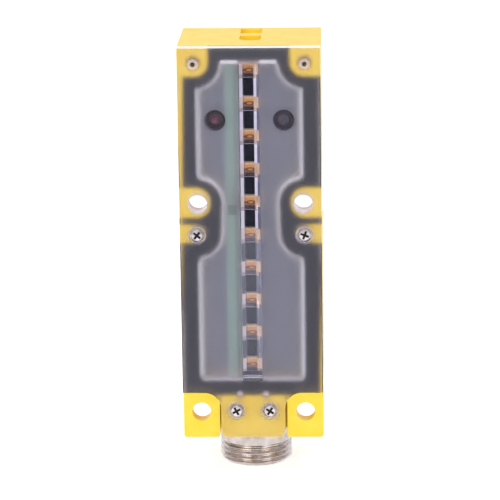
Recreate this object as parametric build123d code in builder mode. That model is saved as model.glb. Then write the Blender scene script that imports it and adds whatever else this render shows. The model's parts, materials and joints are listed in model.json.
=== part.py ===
from build123d import *
import math
import os

# Multi-beam light curtain head: a yellow moulded housing with a clear frosted
# front cover, ten stacked beam elements behind a lens strip, two indicator
# windows, a sealing gasket and a threaded connector at the foot.
# Millimetres. X across, Z up, the beams leave towards -Y. The origin is the
# centre of the four mounting holes on the rear face of the mounting flange.

# Overall form
body_width = 42.7
body_depth = 33.0               # cover front to housing back
flange_thickness = 4.8
cover_thickness = 3.2
side_draft = 0.7                # degrees, the housing narrows towards its back
back_edge = 1.2                 # chamfer round the back

# Mounting holes
hole_spacing_x = 31.75
hole_spacing_z = 66.0
hole_diameter = 5.8
holes_to_top = 47.9             # upper row to the top of the housing
holes_to_foot = 8.1             # lower row to the bottom of the lugs

# Foot: two lugs with the connector block between them
lug_height = 15.0               # up to the lower edge of the cover
lug_inner_x = 10.3
lug_corner_radius = 0.9
tongue_half_width = 9.75
tongue_lift = 1.0               # tongue and block end this far above the lugs
tongue_corner_radius = 2.2
tongue_root_radius = 5.0
block_half_width = 12.4
block_setback = 1.4             # wide part of the block behind the flange
lug_to_body = 1.4               # gap between the lug's shoulder and the deep body

# Pockets behind the upper mounting holes, open to the side and the back
pocket_rise = 5.8               # above the hole's axis
pocket_drop = 10.0              # below it, so that the hole is clear when seen from above
pocket_inner_x = 11.6
pocket_corner_radius = 1.4

# Two shallow pockets in the top face, one behind the other
top_pocket_width = 6.4
top_pocket_depth = 1.6
front_pocket = (11.5, 18.8)     # front and back wall, behind the cover front
rear_pocket = (22.8, 29.8)
front_pocket_bow = 1.6          # bulge of the front pocket's front wall

# Mouth of the housing, and the pad on the cover that enters it
mouth_half_width = 15.9
mouth_top_margin = 4.1
mouth_bottom_z = 18.1           # above the foot
pin_notch_radius = 7.5
hole_notch_radius = 7.0
mouth_corner_radius = 1.3
pad_clearance = 0.3
pad_thickness = 1.4
pad_edge = 0.7                  # chamfer round the back of the pad
mouth_depth = 5.2               # housing front to the ledge under the panel
ledge_width = 0.9
back_wall = 2.6

# Locating pins of the cover, in the top corners
pin_x = 16.6
pin_to_top = 5.0
pin_diameter = 4.1
pin_core_diameter = 1.4
pin_length = 4.0
pin_core_end = 0.6              # closed end of the hollow pin
pin_fit = 0.2                   # all round
corner_boss = 9.1
boss_corner_radius = 4.2
peg_x = 3.9
peg_z = 13.4                    # above the foot
peg_diameter = 2.0
peg_length = 2.2

# Cover screws
side_screw_x = 16.2
side_screw_drop = 9.6           # below the upper mounting holes
foot_screw_x = 5.1
foot_screw_z = 9.2              # above the foot
screw_head_diameter = 4.3
screw_head_height = 1.35
screw_head_edge = 0.6
screw_shank_diameter = 2.5
screw_length = 5.8              # under the head, ends inside the flange
cover_edge = 0.3
screw_clearance = 0.3           # all round the shank, in the cover
screw_bite = 0.02               # all round the shank, in the housing
counterbore_diameter = 5.6
counterbore_depth = 1.4
recess_span = 2.7
recess_width = 0.7
recess_depth = 0.8
recess_angles = (51.0, 70.0, 29.0, 57.0)
side_screw_boss_height = 5.6
side_screw_boss_x = 17.4
screw_boss_radius = 2.6

# Gasket, seated a little askew
gasket_thickness = 0.8
gasket_inset = 0.15             # to the side of the housing, before skew and shift
gasket_shift = 0.42             # to the right
gasket_skew = 1.2               # degrees
gasket_foot_z = 13.5            # above the foot, on the tongue
gasket_gap = 0.25               # to the walls of its seat
gasket_overhang = 0.2           # past the edge of the mouth, towards the pad

# Beam row
beam_count = 10
beam_pitch = 10.16
first_beam_drop = 7.65          # top edge of the housing to the first beam's centre
element_width = 5.8
element_height = 4.5
element_depth = 1.8
lens_long = 4.4
lens_short = 1.9
lens_rise = 0.7
lens_taper = 32                 # degrees, the side of the oval lens
lens_lift = 0.35
roof_height = 1.0               # sloped lip over the lens
lip_width = 6.2
lip_height = 0.3
lip_rise = 0.25
lead_side = 0.5                 # square leads of the elements
lead_pitch = 2.54
lead_fit = 0.05

# Lens strip in the back of the pad
strip_width = 6.0
strip_top_margin = 0.2          # beyond the top element
strip_foot_margin = 1.6         # beyond the bottom element
strip_groove_depth = 0.8
strip_thickness = 2.0
strip_crest_width = 3.0
strip_fit = 0.1
strip_gap = 0.3                 # strip to the beam elements

# Rail that carries the beam elements on the board
rail_width = 6.2
rail_thickness = 2.2
rail_short = 0.3                # shorter than the row of elements, at each end

# Optics panel
panel_thickness = 1.6
panel_fit = 0.3
panel_slot_fit = 0.25
board_slot_x = (-6.9, -4.1)
board_slot_margin = 3.4         # slot to the ends of the mouth
indicator_inset = 5.7           # from the side of the mouth
indicator_drop = 23.1           # below the top edge of the housing
indicator_opening = 6.4
holder_fit = 0.1                # holder to the panel
holder_wall = 0.5
holder_rise = 2.4               # off the board
lamp_diameter = 3.0             # red lamp on the left
lamp_height = 3.2
dark_diameter = 4.8             # dark dome on the right
dark_height = 2.6
lamp_edge = 0.9                 # chamfer on top of both
lamp_flange = 0.4               # wider foot of the red lamp
lamp_flange_height = 0.8

# Main board and what stands on it
board_thickness = 1.6
board_fit = 0.3
post_side = 5.6
post_inset = 4.3                # from the side of the mouth
post_low_z = 26.0               # above the foot
post_high_drop = 33.0           # below the top edge of the housing
board_screw_diameter = 2.2
board_screw_head = 3.8
board_screw_head_height = 1.1
board_screw_length = 6.0
window_chip_width = 2.4
window_chip_height = 3.0
window_chip_rise = 2.9          # off the board, up to the face of the panel
window_chip_drop = 49.4         # below the top edge of the housing
controller_side = 12.0
controller_height = 2.0
controller_drop = 38.0
chip_edge = 0.3
capacitor_diameter = 8.0
capacitor_length = 9.0
capacitor_drop = 64.0
capacitor_pitch = 10.6
can_edge = 0.6
header_pins = 5
header_pitch = 2.5
header_height = 7.0
header_depth = 5.0
header_z = 30.0                 # above the foot

# Threaded connector, axis vertical
connector_depth = 20.5          # axis behind the cover front
thread_diameter = 22.2
thread_root_radius = 10.15
collar_length = 6.2
collar_edge = 0.3
thread_length = 6.6
lead_chamfer = 0.7
neck_radius = 9.0
neck_length = 13.6
neck_fit = 0.05
socket_radius = 8.6
socket_depth = 8.3
insert_radius = 7.5
insert_flange = 1.2
insert_fit = 0.1
contact_count = 5
contact_circle = 11.3
contact_diameter = 1.6
contact_fit = 0.05
contact_recess = 2.2            # tips inside the mouth
contact_tail = 2.4
key_width = 2.0
key_rise = 1.0
seal_inner_radius = 9.3
seal_outer_radius = 10.7
seal_thickness = 0.9
lead_wire_diameter = 1.1
lead_wire_sides = 8
lead_straight = 2.8             # at each end of a lead

# Overshoot of cuts that run out of the solid, and the tolerance of selectors
overshoot = 1.0
tiny = 0.01

# Positions that follow from the sizes
top_z = hole_spacing_z / 2 + holes_to_top
foot_z = -hole_spacing_z / 2 - holes_to_foot
upper_z = hole_spacing_z / 2
hole_x = hole_spacing_x / 2
half_width = body_width / 2
front_y = -flange_thickness             # front face of the housing
cover_y = front_y - cover_thickness     # front face of the cover
back_y = cover_y + body_depth
shoulder_z = foot_z + lug_height
tongue_z = foot_z + tongue_lift
pin_z = top_z - pin_to_top
side_screw_z = upper_z - side_screw_drop
foot_screw_level = foot_z + foot_screw_z
mouth_top_z = top_z - mouth_top_margin
mouth_low_z = foot_z + mouth_bottom_z
pad_back_y = front_y + pad_thickness
strip_front_y = pad_back_y - strip_groove_depth
strip_back_y = strip_front_y + strip_thickness
element_front_y = strip_back_y + strip_gap
element_back_y = element_front_y + element_depth
rail_back_y = element_back_y + rail_thickness
board_front_y = rail_back_y
board_back_y = board_front_y + board_thickness
ledge_y = front_y + mouth_depth
floor_y = back_y - back_wall
first_beam_z = top_z - first_beam_drop
beam_heights = [first_beam_z - beam_pitch * i for i in range(beam_count)]
row_middle_z = (beam_heights[0] + beam_heights[-1]) / 2
row_length = beam_pitch * (beam_count - 1) + element_height
strip_length = row_length + strip_top_margin + strip_foot_margin
strip_z = row_middle_z + (strip_top_margin - strip_foot_margin) / 2
indicator_z = top_z - indicator_drop
indicator_x = mouth_half_width - indicator_inset
post_x = mouth_half_width - post_inset
board_screw_places = [(-post_x, foot_z + post_low_z), (post_x, top_z - post_high_drop)]
connector_y = cover_y + connector_depth
collar_end_z = tongue_z - collar_length
thread_end_z = collar_end_z - thread_length
neck_top_z = tongue_z + neck_length
socket_floor_z = thread_end_z + socket_depth

os.makedirs("parts", exist_ok=True)


def facing(y):
    """Upright plane at depth y whose normal points to the front."""
    return Plane.XZ.offset(-y)


# Shared outlines, drawn as seen from the front

with BuildSketch() as side_notch:
    with Locations((hole_x, upper_z), (side_screw_x, side_screw_z)):
        Circle(hole_notch_radius)
    make_hull()

# Opening of the housing: straight sides, stepped round the corner pins and
# waisted round the upper mounting holes and side screws.
with BuildSketch() as mouth:
    with Locations((0, (mouth_top_z + mouth_low_z) / 2)):
        Rectangle(2 * mouth_half_width, mouth_top_z - mouth_low_z)
    with Locations((pin_x, pin_z), (-pin_x, pin_z)):
        Circle(pin_notch_radius, mode=Mode.SUBTRACT)
    add(side_notch.sketch, mode=Mode.SUBTRACT)
    mirror(side_notch.sketch, about=Plane.YZ, mode=Mode.SUBTRACT)
    fillet(mouth.vertices(), mouth_corner_radius)

with BuildSketch() as pad_outline:
    add(mouth.sketch)
    offset(amount=-pad_clearance, mode=Mode.REPLACE)

with BuildSketch() as panel_outline:
    add(mouth.sketch)
    offset(amount=-panel_fit, mode=Mode.REPLACE)

# The well behind the ledge has square steps round the same notches.
pin_step_x = pin_x - pin_notch_radius - ledge_width
pin_step_z = pin_z - pin_notch_radius - ledge_width
hole_step_x = hole_x - hole_notch_radius - ledge_width
hole_step_top = upper_z + hole_notch_radius + ledge_width
hole_step_low = side_screw_z - hole_notch_radius - ledge_width
well_x = mouth_half_width - ledge_width
well_top_z = mouth_top_z - ledge_width
well_low_z = mouth_low_z + ledge_width
with BuildSketch() as well:
    with BuildLine() as right_side:
        Polyline((0, well_top_z), (pin_step_x, well_top_z), (pin_step_x, pin_step_z),
                 (well_x, pin_step_z), (well_x, hole_step_top), (hole_step_x, hole_step_top),
                 (hole_step_x, hole_step_low), (well_x, hole_step_low),
                 (well_x, well_low_z), (0, well_low_z))
        mirror(about=Plane.YZ)
    make_face()

with BuildSketch() as board_outline:
    add(well.sketch)
    offset(amount=-board_fit, kind=Kind.INTERSECTION, mode=Mode.REPLACE)

# Outline of the cover: full width above the lugs, a tongue between them.
with BuildSketch() as cover_outline:
    with Locations((0, (top_z + shoulder_z) / 2)):
        Rectangle(body_width, top_z - shoulder_z)
    with Locations((0, (shoulder_z + tongue_z) / 2)):
        Rectangle(2 * tongue_half_width, shoulder_z - tongue_z)
    roots = cover_outline.vertices().filter_by(
        lambda v: abs(v.Y - shoulder_z) < tiny and abs(v.X) < half_width - tiny)
    fillet(roots, tongue_root_radius)
    fillet(cover_outline.vertices().group_by(Axis.Y)[0], tongue_corner_radius)

# Areas where the housing comes forward through the gasket to meet the cover.
with BuildSketch() as right_bosses:
    with Locations((half_width - corner_boss / 2, top_z - corner_boss / 2),
                   (half_width - corner_boss / 2, upper_z)):
        Rectangle(corner_boss, corner_boss)
    inner = right_bosses.vertices().filter_by(
        lambda v: abs(v.X - half_width + corner_boss) < tiny and v.Y < top_z - tiny)
    fillet(inner, boss_corner_radius)
    with Locations(((side_screw_boss_x + half_width) / 2, side_screw_z)):
        Rectangle(half_width - side_screw_boss_x, side_screw_boss_height)
    with Locations((side_screw_x, side_screw_z)):
        Circle(screw_boss_radius)

# Seat of the gasket in the front face of the housing, turned by the gasket's
# slight skew and clipped by the outline of the cover.
seat_low_z = foot_z + gasket_foot_z
with BuildSketch() as gasket_seat:
    with Locations(Location((gasket_shift, (top_z + seat_low_z) / 2, 0), (0, 0, -gasket_skew))):
        Rectangle(body_width - 2 * gasket_inset, 2 * (top_z - seat_low_z))
    with Locations((0, (top_z + seat_low_z) / 2)):
        Rectangle(body_width, top_z - seat_low_z, mode=Mode.INTERSECT)
    add(cover_outline.sketch, mode=Mode.INTERSECT)
    add(right_bosses.sketch, mode=Mode.SUBTRACT)
    mirror(right_bosses.sketch, about=Plane.YZ, mode=Mode.SUBTRACT)
    add(mouth.sketch, mode=Mode.SUBTRACT)

with BuildSketch() as gasket_window:
    add(mouth.sketch)
    offset(amount=-gasket_overhang, mode=Mode.REPLACE)

# The gasket keeps a small gap to every wall of its seat and to the pegs, and
# reaches a little over the edge of the mouth, close to the pad.
with BuildSketch() as gasket_outline:
    add(gasket_seat.sketch)
    add(mouth.sketch)
    offset(amount=-gasket_gap, mode=Mode.REPLACE)
    add(gasket_window.sketch, mode=Mode.SUBTRACT)
    with Locations((-peg_x, foot_z + peg_z), (peg_x, foot_z + peg_z)):
        Circle(peg_diameter / 2 + gasket_gap, mode=Mode.SUBTRACT)

# Rear housing, one yellow moulding: a front flange with two lugs, a deep body
# with a pocket behind each upper mounting hole, and the connector block.
with BuildPart() as rear_housing:
    with BuildSketch(facing(0)):
        with Locations((0, (top_z + foot_z) / 2)):
            Rectangle(body_width, top_z - foot_z)
        for side in (-1, 1):
            with Locations((side * (lug_inner_x + tongue_half_width) / 2,
                            (shoulder_z + foot_z) / 2)):
                Rectangle(lug_inner_x - tongue_half_width, lug_height, mode=Mode.SUBTRACT)
        with Locations((0, foot_z + tongue_lift / 2)):
            Rectangle(2 * lug_inner_x, tongue_lift, mode=Mode.SUBTRACT)
    extrude(amount=flange_thickness)
    # Rounded feet of the lugs and of the tongue
    feet = rear_housing.edges().filter_by(Axis.Y)
    fillet(feet.filter_by(lambda e: abs(e.center().Z - foot_z) < tiny),
           lug_corner_radius)
    tongue_feet = rear_housing.edges().filter_by(Axis.Y).filter_by(
        lambda e: abs(e.center().Z - tongue_z) < tiny)
    fillet(tongue_feet, tongue_corner_radius)
    # Deep body
    with BuildSketch(facing(0)):
        with Locations((0, (top_z + shoulder_z + lug_to_body) / 2)):
            Rectangle(body_width, top_z - shoulder_z - lug_to_body)
    extrude(amount=-back_y, taper=side_draft)
    # Connector block, narrow at the flange and wider behind it
    with BuildSketch(facing(0)):
        with Locations((0, (shoulder_z + lug_to_body + tongue_z) / 2)):
            Rectangle(2 * tongue_half_width, shoulder_z + lug_to_body - tongue_z)
    extrude(amount=-block_setback)
    with BuildSketch(facing(block_setback)):
        with Locations((0, (shoulder_z + 2 * lug_to_body + tongue_z) / 2)):
            Rectangle(2 * block_half_width, shoulder_z + 2 * lug_to_body - tongue_z)
    extrude(amount=-(back_y - block_setback), taper=side_draft)
    # Pockets behind the upper mounting holes
    for side in (-1, 1):
        with BuildSketch(facing(0)):
            with Locations((side * (pocket_inner_x + half_width),
                            upper_z + (pocket_rise - pocket_drop) / 2)):
                RectangleRounded(2 * half_width, pocket_rise + pocket_drop,
                                 pocket_corner_radius)
        extrude(amount=-back_y - overshoot, mode=Mode.SUBTRACT)
    chamfer(rear_housing.faces().sort_by(Axis.Y)[-1].outer_wire().edges(), back_edge)
    # Pockets in the top face; the front wall of the first is bowed
    pocket_half = top_pocket_width / 2
    with BuildSketch(Plane.XY.offset(top_z)):
        with BuildLine():
            near, far = cover_y + front_pocket[0], cover_y + front_pocket[1]
            Polyline((-pocket_half, near + front_pocket_bow), (-pocket_half, far),
                     (pocket_half, far), (pocket_half, near + front_pocket_bow))
            ThreePointArc((pocket_half, near + front_pocket_bow), (0, near),
                          (-pocket_half, near + front_pocket_bow))
        make_face()
        with Locations((0, cover_y + sum(rear_pocket) / 2)):
            Rectangle(top_pocket_width, rear_pocket[1] - rear_pocket[0])
    extrude(amount=-top_pocket_depth, mode=Mode.SUBTRACT)
    # Mouth with its ledge, and the well behind it
    with BuildSketch(facing(front_y)):
        add(mouth.sketch)
    extrude(amount=-mouth_depth, mode=Mode.SUBTRACT)
    with BuildSketch(facing(front_y)):
        add(well.sketch)
    extrude(amount=front_y - floor_y, mode=Mode.SUBTRACT)
    # Seat of the gasket
    with BuildSketch(facing(front_y)):
        add(gasket_seat.sketch)
    extrude(amount=-gasket_thickness, mode=Mode.SUBTRACT)
    # Posts for the board
    with BuildSketch(facing(floor_y)):
        for level in (foot_z + post_low_z, top_z - post_high_drop):
            with Locations((-post_x, level), (post_x, level)):
                Rectangle(post_side, post_side)
    extrude(amount=floor_y - board_back_y)
    with BuildSketch(facing(board_back_y)):
        with Locations(*board_screw_places):
            Circle(board_screw_diameter / 2 + screw_bite)
    extrude(amount=-board_screw_length, mode=Mode.SUBTRACT)
    # Mounting holes
    with BuildSketch(facing(front_y)):
        with GridLocations(hole_spacing_x, hole_spacing_z, 2, 2):
            Circle(hole_diameter / 2)
    extrude(amount=-flange_thickness, mode=Mode.SUBTRACT)
    # Sockets for the cover's corner pins and pegs
    with BuildSketch(facing(front_y)):
        with Locations((-pin_x, pin_z), (pin_x, pin_z)):
            Circle(pin_diameter / 2 + pin_fit)
    extrude(amount=-pin_length - pin_fit, mode=Mode.SUBTRACT)
    with BuildSketch(facing(front_y)):
        with Locations((-peg_x, foot_z + peg_z), (peg_x, foot_z + peg_z)):
            Circle(peg_diameter / 2 + pin_fit)
    extrude(amount=-peg_length - pin_fit, mode=Mode.SUBTRACT)
    # Pilot holes of the cover screws
    with BuildSketch(facing(front_y)):
        with Locations((-side_screw_x, side_screw_z), (side_screw_x, side_screw_z),
                       (-foot_screw_x, foot_screw_level), (foot_screw_x, foot_screw_level)):
            Circle(screw_shank_diameter / 2 + screw_bite)
    extrude(amount=-(screw_length - (cover_thickness - counterbore_depth)) - screw_clearance,
            mode=Mode.SUBTRACT)
    # Bore for the neck of the connector, and the seat of its seal
    with BuildSketch(Plane.XY.offset(tongue_z)):
        with Locations((0, connector_y)):
            Circle(neck_radius + neck_fit)
    extrude(amount=mouth_low_z + ledge_width - tongue_z + overshoot, mode=Mode.SUBTRACT)
    with BuildSketch(Plane.XY.offset(tongue_z)):
        with Locations((0, connector_y)):
            Circle(seal_outer_radius + neck_fit)
            Circle(seal_inner_radius - neck_fit, mode=Mode.SUBTRACT)
    extrude(amount=seal_thickness, mode=Mode.SUBTRACT)
rear_housing.part.label = "rear_housing"
export_step(rear_housing.part, "parts/rear_housing.step")

# Clear front cover: plate with tongue, sealing pad on its back, counterbored
# screw holes, hollow corner pins and two pegs.
with BuildPart() as front_cover:
    with BuildSketch(facing(front_y)):
        add(cover_outline.sketch)
    extrude(amount=cover_thickness)
    chamfer(front_cover.faces().sort_by(Axis.Y)[0].outer_wire().edges(), cover_edge)
    with BuildSketch(facing(pad_back_y)):
        add(pad_outline.sketch)
    extrude(amount=pad_thickness)
    chamfer(front_cover.faces().sort_by(Axis.Y)[-1].outer_wire().edges(), pad_edge)
    with BuildSketch(facing(pad_back_y)):
        with Locations((0, strip_z)):
            Rectangle(strip_width + 2 * strip_fit, strip_length + 2 * strip_fit)
    extrude(amount=strip_groove_depth, mode=Mode.SUBTRACT)
    with BuildSketch(facing(cover_y)):
        with Locations((-hole_x, upper_z), (hole_x, upper_z)):
            Circle(hole_diameter / 2)
        with Locations((-side_screw_x, side_screw_z), (side_screw_x, side_screw_z),
                       (-foot_screw_x, foot_screw_level), (foot_screw_x, foot_screw_level)):
            Circle(screw_shank_diameter / 2 + screw_clearance)
    extrude(amount=-cover_thickness, mode=Mode.SUBTRACT)
    with BuildSketch(facing(cover_y)):
        with Locations((-side_screw_x, side_screw_z), (side_screw_x, side_screw_z),
                       (-foot_screw_x, foot_screw_level), (foot_screw_x, foot_screw_level)):
            Circle(counterbore_diameter / 2)
    extrude(amount=-counterbore_depth, mode=Mode.SUBTRACT)
    with BuildSketch(facing(front_y)):
        with Locations((-pin_x, pin_z), (pin_x, pin_z)):
            Circle(pin_diameter / 2)
    extrude(amount=-pin_length)
    with BuildSketch(facing(cover_y)):
        with Locations((-pin_x, pin_z), (pin_x, pin_z)):
            Circle(pin_core_diameter / 2)
    extrude(amount=-(cover_thickness + pin_length - pin_core_end), mode=Mode.SUBTRACT)
    with BuildSketch(facing(front_y)):
        with Locations((-peg_x, foot_z + peg_z), (peg_x, foot_z + peg_z)):
            Circle(peg_diameter / 2)
    extrude(amount=-peg_length)
front_cover.part.label = "front_cover"
export_step(front_cover.part, "parts/front_cover.step")

# Black gasket between cover and housing
with BuildPart() as cover_gasket:
    with BuildSketch(facing(front_y + gasket_thickness)):
        add(gasket_outline.sketch)
    extrude(amount=gasket_thickness)
cover_gasket.part.label = "cover_gasket"
export_step(cover_gasket.part, "parts/cover_gasket.step")

# Lens strip: a clear bar seated in the pad, its long back edges bevelled
with BuildPart() as lens_strip:
    with BuildSketch(Plane.XY.offset(strip_z - strip_length / 2)):
        with BuildLine():
            Polyline((-strip_width / 2, strip_front_y), (strip_width / 2, strip_front_y),
                     (strip_width / 2, pad_back_y), (strip_crest_width / 2, strip_back_y),
                     (-strip_crest_width / 2, strip_back_y), (-strip_width / 2, pad_back_y),
                     close=True)
        make_face()
    extrude(amount=strip_length)
lens_strip.part.label = "lens_strip"
export_step(lens_strip.part, "parts/lens_strip.step")

# Beam elements: a moulded block with a sloped roof, an oval lens and a thin
# foot lip, on two leads
for number, level in enumerate(beam_heights, start=1):
    with BuildPart() as beam_element:
        with BuildSketch(facing(element_back_y)):
            with Locations((0, level)):
                Rectangle(element_width, element_height)
        extrude(amount=element_depth - lens_rise)
        block_y = element_front_y + lens_rise
        with BuildSketch(Plane.YZ.offset(-element_width / 2)):
            with BuildLine():
                Polyline((block_y, level + element_height / 2),
                         (block_y, level + element_height / 2 - roof_height),
                         (element_front_y, level + element_height / 2), close=True)
            make_face()
        extrude(amount=element_width)
        with BuildSketch(facing(block_y)):
            with BuildLine():
                middle = level + lens_lift
                ThreePointArc((-lens_long / 2, middle), (0, middle + lens_short / 2),
                              (lens_long / 2, middle))
                ThreePointArc((lens_long / 2, middle), (0, middle - lens_short / 2),
                              (-lens_long / 2, middle))
            make_face()
        extrude(amount=lens_rise, taper=lens_taper)
        with BuildSketch(facing(block_y)):
            with Locations((0, level - element_height / 2 + lip_height / 2)):
                Rectangle(lip_width, lip_height)
        extrude(amount=lip_rise)
        with BuildSketch(facing(element_back_y)):
            with Locations((-lead_pitch / 2, level), (lead_pitch / 2, level)):
                Rectangle(lead_side, lead_side)
        extrude(amount=element_back_y - board_front_y)
    beam_element.part.label = f"beam_element_{number:02d}"
    export_step(beam_element.part, f"parts/beam_element_{number:02d}.step")

# Black rail that holds the elements off the board
with BuildPart() as element_rail:
    with BuildSketch(facing(rail_back_y)):
        with Locations((0, row_middle_z)):
            Rectangle(rail_width, row_length - 2 * rail_short)
        for level in beam_heights:
            with Locations((-lead_pitch / 2, level), (lead_pitch / 2, level)):
                Rectangle(lead_side + 2 * lead_fit, lead_side + 2 * lead_fit,
                          mode=Mode.SUBTRACT)
    extrude(amount=rail_thickness)
element_rail.part.label = "element_rail"
export_step(element_rail.part, "parts/element_rail.step")

# Grey panel on the ledge of the mouth, open at the beam row, over a strip of
# the board and at the two indicators
with BuildPart() as optics_panel:
    with BuildSketch(facing(ledge_y)):
        add(panel_outline.sketch)
        with Locations((0, row_middle_z)):
            Rectangle(rail_width + 2 * panel_slot_fit, row_length + 2 * panel_slot_fit,
                      mode=Mode.SUBTRACT)
        slot_top = mouth_top_z - board_slot_margin
        slot_low = mouth_low_z + board_slot_margin
        with Locations((sum(board_slot_x) / 2, (slot_top + slot_low) / 2)):
            Rectangle(board_slot_x[1] - board_slot_x[0], slot_top - slot_low,
                      mode=Mode.SUBTRACT)
        with Locations((-indicator_x, indicator_z), (indicator_x, indicator_z)):
            Circle(indicator_opening / 2, mode=Mode.SUBTRACT)
    extrude(amount=panel_thickness)
optics_panel.part.label = "optics_panel"
export_step(optics_panel.part, "parts/optics_panel.step")

# Indicators: a red lamp on the left, a wider dark one on the right
with BuildPart() as indicator_led:
    with BuildSketch(facing(board_front_y)):
        with Locations((-indicator_x, indicator_z)):
            Circle(lamp_diameter / 2 + lamp_flange)
    extrude(amount=lamp_flange_height)
    with BuildSketch(facing(board_front_y)):
        with Locations((-indicator_x, indicator_z)):
            Circle(lamp_diameter / 2)
    extrude(amount=lamp_height)
    chamfer(indicator_led.edges().group_by(Axis.Y)[0], lamp_edge)
indicator_led.part.label = "indicator_led"
export_step(indicator_led.part, "parts/indicator_led.step")

with BuildPart() as second_indicator:
    with BuildSketch(facing(board_front_y)):
        with Locations((indicator_x, indicator_z)):
            Circle(dark_diameter / 2)
    extrude(amount=dark_height)
    chamfer(second_indicator.edges().group_by(Axis.Y)[0], lamp_edge)
second_indicator.part.label = "second_indicator"
export_step(second_indicator.part, "parts/second_indicator.step")

# Black sleeves round the indicators, in the openings of the panel
with BuildPart() as indicator_holders:
    with BuildSketch(facing(board_front_y)):
        with Locations((-indicator_x, indicator_z), (indicator_x, indicator_z)):
            Circle(indicator_opening / 2 - holder_fit)
            Circle(indicator_opening / 2 - holder_fit - holder_wall, mode=Mode.SUBTRACT)
    extrude(amount=holder_rise)
    # Floor of the left sleeve, round the red lamp
    with BuildSketch(facing(board_front_y)):
        with Locations((-indicator_x, indicator_z)):
            Circle(indicator_opening / 2 - holder_fit - tiny)
            Circle(lamp_diameter / 2 + lamp_flange + holder_fit, mode=Mode.SUBTRACT)
    extrude(amount=lamp_flange_height)
indicator_holders.part.label = "indicator_holders"
export_step(indicator_holders.part, "parts/indicator_holders.step")

# Main board on the four posts, with a screw in two of them
with BuildPart() as main_board:
    with BuildSketch(facing(board_back_y)):
        add(board_outline.sketch)
        with Locations(*board_screw_places):
            Circle(board_screw_diameter / 2 + screw_clearance, mode=Mode.SUBTRACT)
    extrude(amount=board_thickness)
main_board.part.label = "main_board"
export_step(main_board.part, "parts/main_board.step")

with BuildPart() as board_screws:
    with BuildSketch(facing(board_front_y)):
        with Locations(*board_screw_places):
            Circle(board_screw_head / 2)
    extrude(amount=board_screw_head_height)
    with BuildSketch(facing(board_front_y)):
        with Locations(*board_screw_places):
            Circle(board_screw_diameter / 2)
    extrude(amount=-board_screw_length)
board_screws.part.label = "board_screws"
export_step(board_screws.part, "parts/board_screws.step")

with BuildPart() as window_chip_body:
    with BuildSketch(facing(board_front_y)):
        with Locations((sum(board_slot_x) / 2, top_z - window_chip_drop)):
            Rectangle(window_chip_width, window_chip_height)
    extrude(amount=window_chip_rise)
window_chip_body.part.label = "window_chip"
export_step(window_chip_body.part, "parts/window_chip.step")

with BuildPart() as controller_chip:
    with BuildSketch(facing(board_back_y)):
        with Locations((0, top_z - controller_drop)):
            Rectangle(controller_side, controller_side)
    extrude(amount=-controller_height)
    chamfer(controller_chip.faces().sort_by(Axis.Y)[-1].edges(), chip_edge)
controller_chip.part.label = "controller_chip"
export_step(controller_chip.part, "parts/controller_chip.step")

with BuildPart() as capacitors:
    with BuildSketch(facing(board_back_y)):
        with Locations((0, top_z - capacitor_drop),
                       (0, top_z - capacitor_drop - capacitor_pitch)):
            Circle(capacitor_diameter / 2)
    extrude(amount=-capacitor_length)
    chamfer(capacitors.edges().group_by(Axis.Y)[-1], can_edge)
capacitors.part.label = "capacitors"
export_step(capacitors.part, "parts/capacitors.step")

# Header for the connector's leads, on the back of the board
header_width = header_pitch * header_pins
with BuildPart() as lead_header:
    with BuildSketch(facing(board_back_y)):
        with Locations((0, foot_z + header_z)):
            Rectangle(header_width, header_height)
    extrude(amount=-header_depth)
lead_header.part.label = "lead_header"
export_step(lead_header.part, "parts/lead_header.step")

# Connector shell: threaded end, plain collar and the neck in the housing
axis_line = Axis((0, connector_y, 0), (0, 0, 1))
with BuildPart() as connector_shell:
    with BuildSketch(facing(connector_y)):
        with BuildLine():
            Polyline((socket_radius, thread_end_z),
                     (thread_root_radius - lead_chamfer, thread_end_z),
                     (thread_root_radius, thread_end_z + lead_chamfer),
                     (thread_root_radius, collar_end_z),
                     (thread_diameter / 2 - collar_edge, collar_end_z),
                     (thread_diameter / 2, collar_end_z + collar_edge),
                     (thread_diameter / 2, tongue_z),
                     (neck_radius, tongue_z),
                     (neck_radius, neck_top_z),
                     (insert_radius + insert_fit, neck_top_z),
                     (insert_radius + insert_fit, socket_floor_z),
                     (socket_radius, socket_floor_z), close=True)
        make_face()
    revolve(axis=axis_line)
    with BuildSketch(Plane.XY.offset(thread_end_z + lead_chamfer)):
        with Locations((0, connector_y)):
            Circle(socket_radius + insert_fit)
            Circle(socket_radius - key_rise, mode=Mode.SUBTRACT)
        with Locations((0, connector_y - socket_radius)):
            Rectangle(key_width, 4 * key_rise, mode=Mode.INTERSECT)
    extrude(amount=socket_depth - lead_chamfer - insert_flange - insert_fit)
connector_shell.part.label = "connector_shell"
export_step(connector_shell.part, "parts/connector_shell.step")

with BuildPart() as connector_insert:
    with BuildSketch(Plane.XY.offset(socket_floor_z - insert_flange)):
        with Locations((0, connector_y)):
            Circle(socket_radius - insert_fit)
    extrude(amount=insert_flange)
    with BuildSketch(Plane.XY.offset(socket_floor_z)):
        with Locations((0, connector_y)):
            Circle(insert_radius)
    extrude(amount=neck_top_z - socket_floor_z)
    with BuildSketch(Plane.XY.offset(socket_floor_z - insert_flange)):
        with Locations((0, connector_y)):
            with PolarLocations(contact_circle / 2, contact_count, start_angle=90):
                Circle(contact_diameter / 2 + contact_fit)
    extrude(amount=insert_flange + neck_top_z - socket_floor_z, mode=Mode.SUBTRACT)
connector_insert.part.label = "connector_insert"
export_step(connector_insert.part, "parts/connector_insert.step")

contact_tip_z = thread_end_z + contact_recess
contact_end_z = neck_top_z + contact_tail
with BuildPart() as connector_contacts:
    with BuildSketch(Plane.XY.offset(contact_tip_z)):
        with Locations((0, connector_y)):
            with PolarLocations(contact_circle / 2, contact_count, start_angle=90):
                Circle(contact_diameter / 2)
    extrude(amount=contact_end_z - contact_tip_z)
connector_contacts.part.label = "connector_contacts"
export_step(connector_contacts.part, "parts/connector_contacts.step")

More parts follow.
